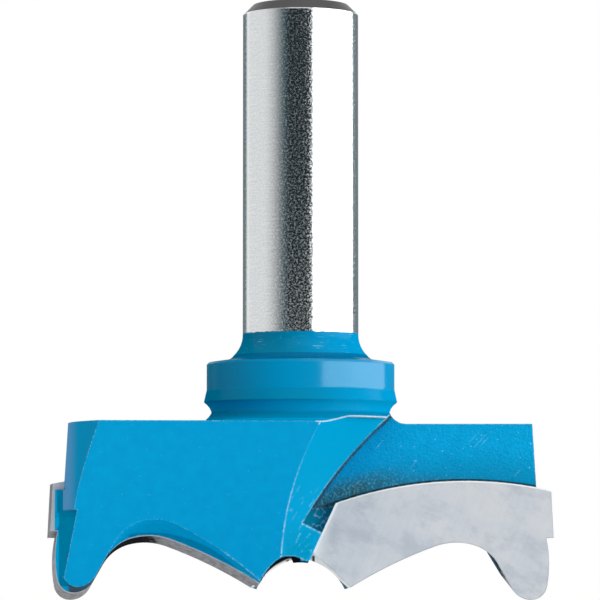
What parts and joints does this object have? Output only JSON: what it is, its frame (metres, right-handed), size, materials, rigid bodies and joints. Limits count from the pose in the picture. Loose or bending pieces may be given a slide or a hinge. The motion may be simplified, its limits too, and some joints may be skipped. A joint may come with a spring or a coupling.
{
  "type": "rosette cutter",
  "caption": "Rosette cutter with a bare ground shank, a blue painted collar and two-wing head, and brazed carbide tips ground to a stepped ogee profile.",
  "frame": {"origin": "on the cutter's axis, level with the lowest point of the cutting edges", "axes": "+Z along the axis towards the shank's end, +X along the front wing, the front tip's rake face looks towards -Y"},
  "size_m": [0.0554, 0.0278, 0.0654],
  "materials": {
    "painted_steel": "gloss",
    "carbide": "satin"
  },
  "bodies": {
    "root": {"cutter_body": "painted_steel", "front_tip": "carbide", "back_tip": "carbide"}
  },
  "joints": []
}
